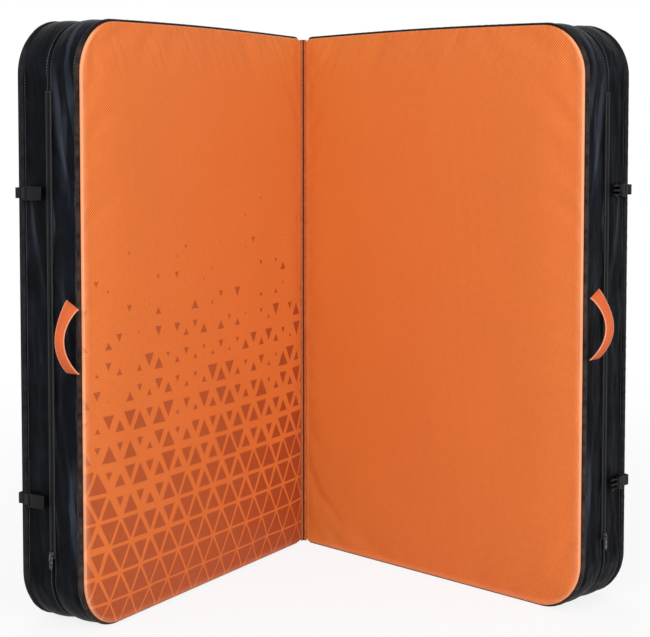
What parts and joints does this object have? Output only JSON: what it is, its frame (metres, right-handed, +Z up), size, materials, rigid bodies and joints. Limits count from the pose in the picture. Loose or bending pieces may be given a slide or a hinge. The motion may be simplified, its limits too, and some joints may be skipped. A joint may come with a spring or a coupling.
{
  "type": "bouldering crash pad",
  "caption": "Folding foam crash pad standing open like a book on its short sides, with orange landing covers, black sides, carry handles, zips, closure buckles and shoulder straps.",
  "frame": {"origin": "centre of the open pad's box, on the floor that it stands on", "axes": "+Z up along the fold, +X from the left half's outer end to the right half's, -Y towards the open side, where the landing faces look"},
  "size_m": [1.039, 0.6142, 1],
  "materials": {
    "orange_fabric": "woven coated nylon, matt, orange",
    "orange_webbing": "flat woven webbing, red orange",
    "fold_fabric": "folded seam of the landing fabric, dark orange",
    "black_fabric": "coated nylon, black, slight sheen",
    "grey_binding": "piping tape, dark grey",
    "black_webbing": "flat woven webbing, black",
    "black_plastic": "moulded acetal, satin black",
    "zip_metal": "painted die-cast metal, dark grey",
    "firm_foam": "closed-cell foam, matt dark grey",
    "soft_foam": "open-cell foam, matt cream"
  },
  "bodies": {
    "left_half": {"left_landing_cover": "orange_fabric", "left_back_panel": "black_fabric", "left_band_front": "black_fabric", "left_band_back": "black_fabric", "left_piping_front": "grey_binding", "left_piping_back": "grey_binding", "left_foam_firm": "firm_foam", "left_foam_core": "soft_foam", "left_foam_base": "firm_foam", "left_handle_neck_upper": "orange_webbing", "left_handle_neck_lower": "orange_webbing", "left_zip_tape": "black_webbing", "left_closure_anchor_upper": "black_webbing", "left_closure_anchor_lower": "black_webbing", "fold_seam_roll": "fold_fabric", "harness_yoke": "black_webbing", "shoulder_pad_inner": "black_fabric", "ladder_lock_inner": "black_plastic", "ladder_lock_holder_inner": "black_webbing", "lower_webbing_inner": "black_webbing", "lower_anchor_inner": "black_webbing", "shoulder_pad_outer": "black_fabric", "ladder_lock_outer": "black_plastic", "ladder_lock_holder_outer": "black_webbing", "lower_webbing_outer": "black_webbing", "lower_anchor_outer": "black_webbing"},
    "left_handle": {"left_handle_grip": "orange_webbing"},
    "left_zip_slider": {"left_zip_slider": "zip_metal"},
    "left_zip_puller": {"left_zip_puller": "zip_metal"},
    "left_strap_upper": {"left_closure_strap_upper": "black_webbing"},
    "left_strap_lower": {"left_closure_strap_lower": "black_webbing"},
    "left_buckle_upper": {"left_buckle_socket_upper": "black_plastic"},
    "left_buckle_lower": {"left_buckle_socket_lower": "black_plastic"},
    "right_half": {"right_landing_cover": "orange_fabric", "right_back_panel": "black_fabric", "right_band_front": "black_fabric", "right_band_back": "black_fabric", "right_piping_front": "grey_binding", "right_piping_back": "grey_binding", "right_foam_firm": "firm_foam", "right_foam_core": "soft_foam", "right_foam_base": "firm_foam", "right_handle_neck_upper": "orange_webbing", "right_handle_neck_lower": "orange_webbing", "right_zip_tape": "black_webbing", "right_closure_anchor_upper": "black_webbing", "right_closure_anchor_lower": "black_webbing"},
    "right_handle": {"right_handle_grip": "orange_webbing"},
    "right_zip_slider": {"right_zip_slider": "zip_metal"},
    "right_zip_puller": {"right_zip_puller": "zip_metal"},
    "right_strap_upper": {"right_closure_strap_upper": "black_webbing"},
    "right_strap_lower": {"right_closure_strap_lower": "black_webbing"},
    "right_buckle_upper": {"right_buckle_prongs_upper": "black_plastic"},
    "right_buckle_lower": {"right_buckle_prongs_lower": "black_plastic"}
  },
  "joints": [
    {"name": "fold", "type": "hinge", "parent": "left_half", "child": "right_half", "pos_m": [0, 0.22455, 0.5], "axis": [0, 0, 1], "range_deg": [-73, 103]},
    {"name": "left_handle_swing", "type": "hinge", "parent": "left_half", "child": "left_handle", "pos_m": [-0.43879, -0.27922, 0.49], "axis": [0, 0, -1], "range_deg": [-70, 70]},
    {"name": "left_zip_run", "type": "slide", "parent": "left_half", "child": "left_zip_slider", "axis": [0, 0, 1], "range_m": [0, 0.749]},
    {"name": "left_puller_swing", "type": "hinge", "parent": "left_zip_slider", "child": "left_zip_puller", "pos_m": [-0.46568, -0.24443, 0.1255], "axis": [-0.7826, 0.6225, 0], "range_deg": [0, 170]},
    {"name": "left_strap_upper_swing", "type": "hinge", "parent": "left_half", "child": "left_strap_upper", "pos_m": [-0.50955, -0.20721, 0.715], "axis": [0, 0, -1], "range_deg": [0, 90]},
    {"name": "left_buckle_upper_tilt", "type": "hinge", "parent": "left_strap_upper", "child": "left_buckle_upper", "pos_m": [-0.50217, -0.21641, 0.715], "axis": [0, 0, -1], "range_deg": [0, 60]},
    {"name": "left_strap_lower_swing", "type": "hinge", "parent": "left_half", "child": "left_strap_lower", "pos_m": [-0.50955, -0.20721, 0.212], "axis": [0, 0, -1], "range_deg": [0, 90]},
    {"name": "left_buckle_lower_tilt", "type": "hinge", "parent": "left_strap_lower", "child": "left_buckle_lower", "pos_m": [-0.50217, -0.21641, 0.212], "axis": [0, 0, -1], "range_deg": [0, 60]},
    {"name": "right_handle_swing", "type": "hinge", "parent": "right_half", "child": "right_handle", "pos_m": [0.43879, -0.27922, 0.49], "axis": [0, 0, 1], "range_deg": [-70, 70]},
    {"name": "right_zip_run", "type": "slide", "parent": "right_half", "child": "right_zip_slider", "axis": [0, 0, 1], "range_m": [0, 0.749]},
    {"name": "right_puller_swing", "type": "hinge", "parent": "right_zip_slider", "child": "right_zip_puller", "pos_m": [0.46568, -0.24443, 0.1255], "axis": [-0.7826, -0.6225, 0], "range_deg": [0, 170]},
    {"name": "right_strap_upper_swing", "type": "hinge", "parent": "right_half", "child": "right_strap_upper", "pos_m": [0.50955, -0.20721, 0.715], "axis": [0, 0, 1], "range_deg": [0, 90]},
    {"name": "right_buckle_upper_tilt", "type": "hinge", "parent": "right_strap_upper", "child": "right_buckle_upper", "pos_m": [0.50217, -0.21641, 0.715], "axis": [0, 0, 1], "range_deg": [0, 60]},
    {"name": "right_strap_lower_swing", "type": "hinge", "parent": "right_half", "child": "right_strap_lower", "pos_m": [0.50955, -0.20721, 0.212], "axis": [0, 0, 1], "range_deg": [0, 90]},
    {"name": "right_buckle_lower_tilt", "type": "hinge", "parent": "right_strap_lower", "child": "right_buckle_lower", "pos_m": [0.50217, -0.21641, 0.212], "axis": [0, 0, 1], "range_deg": [0, 60]}
  ]
}
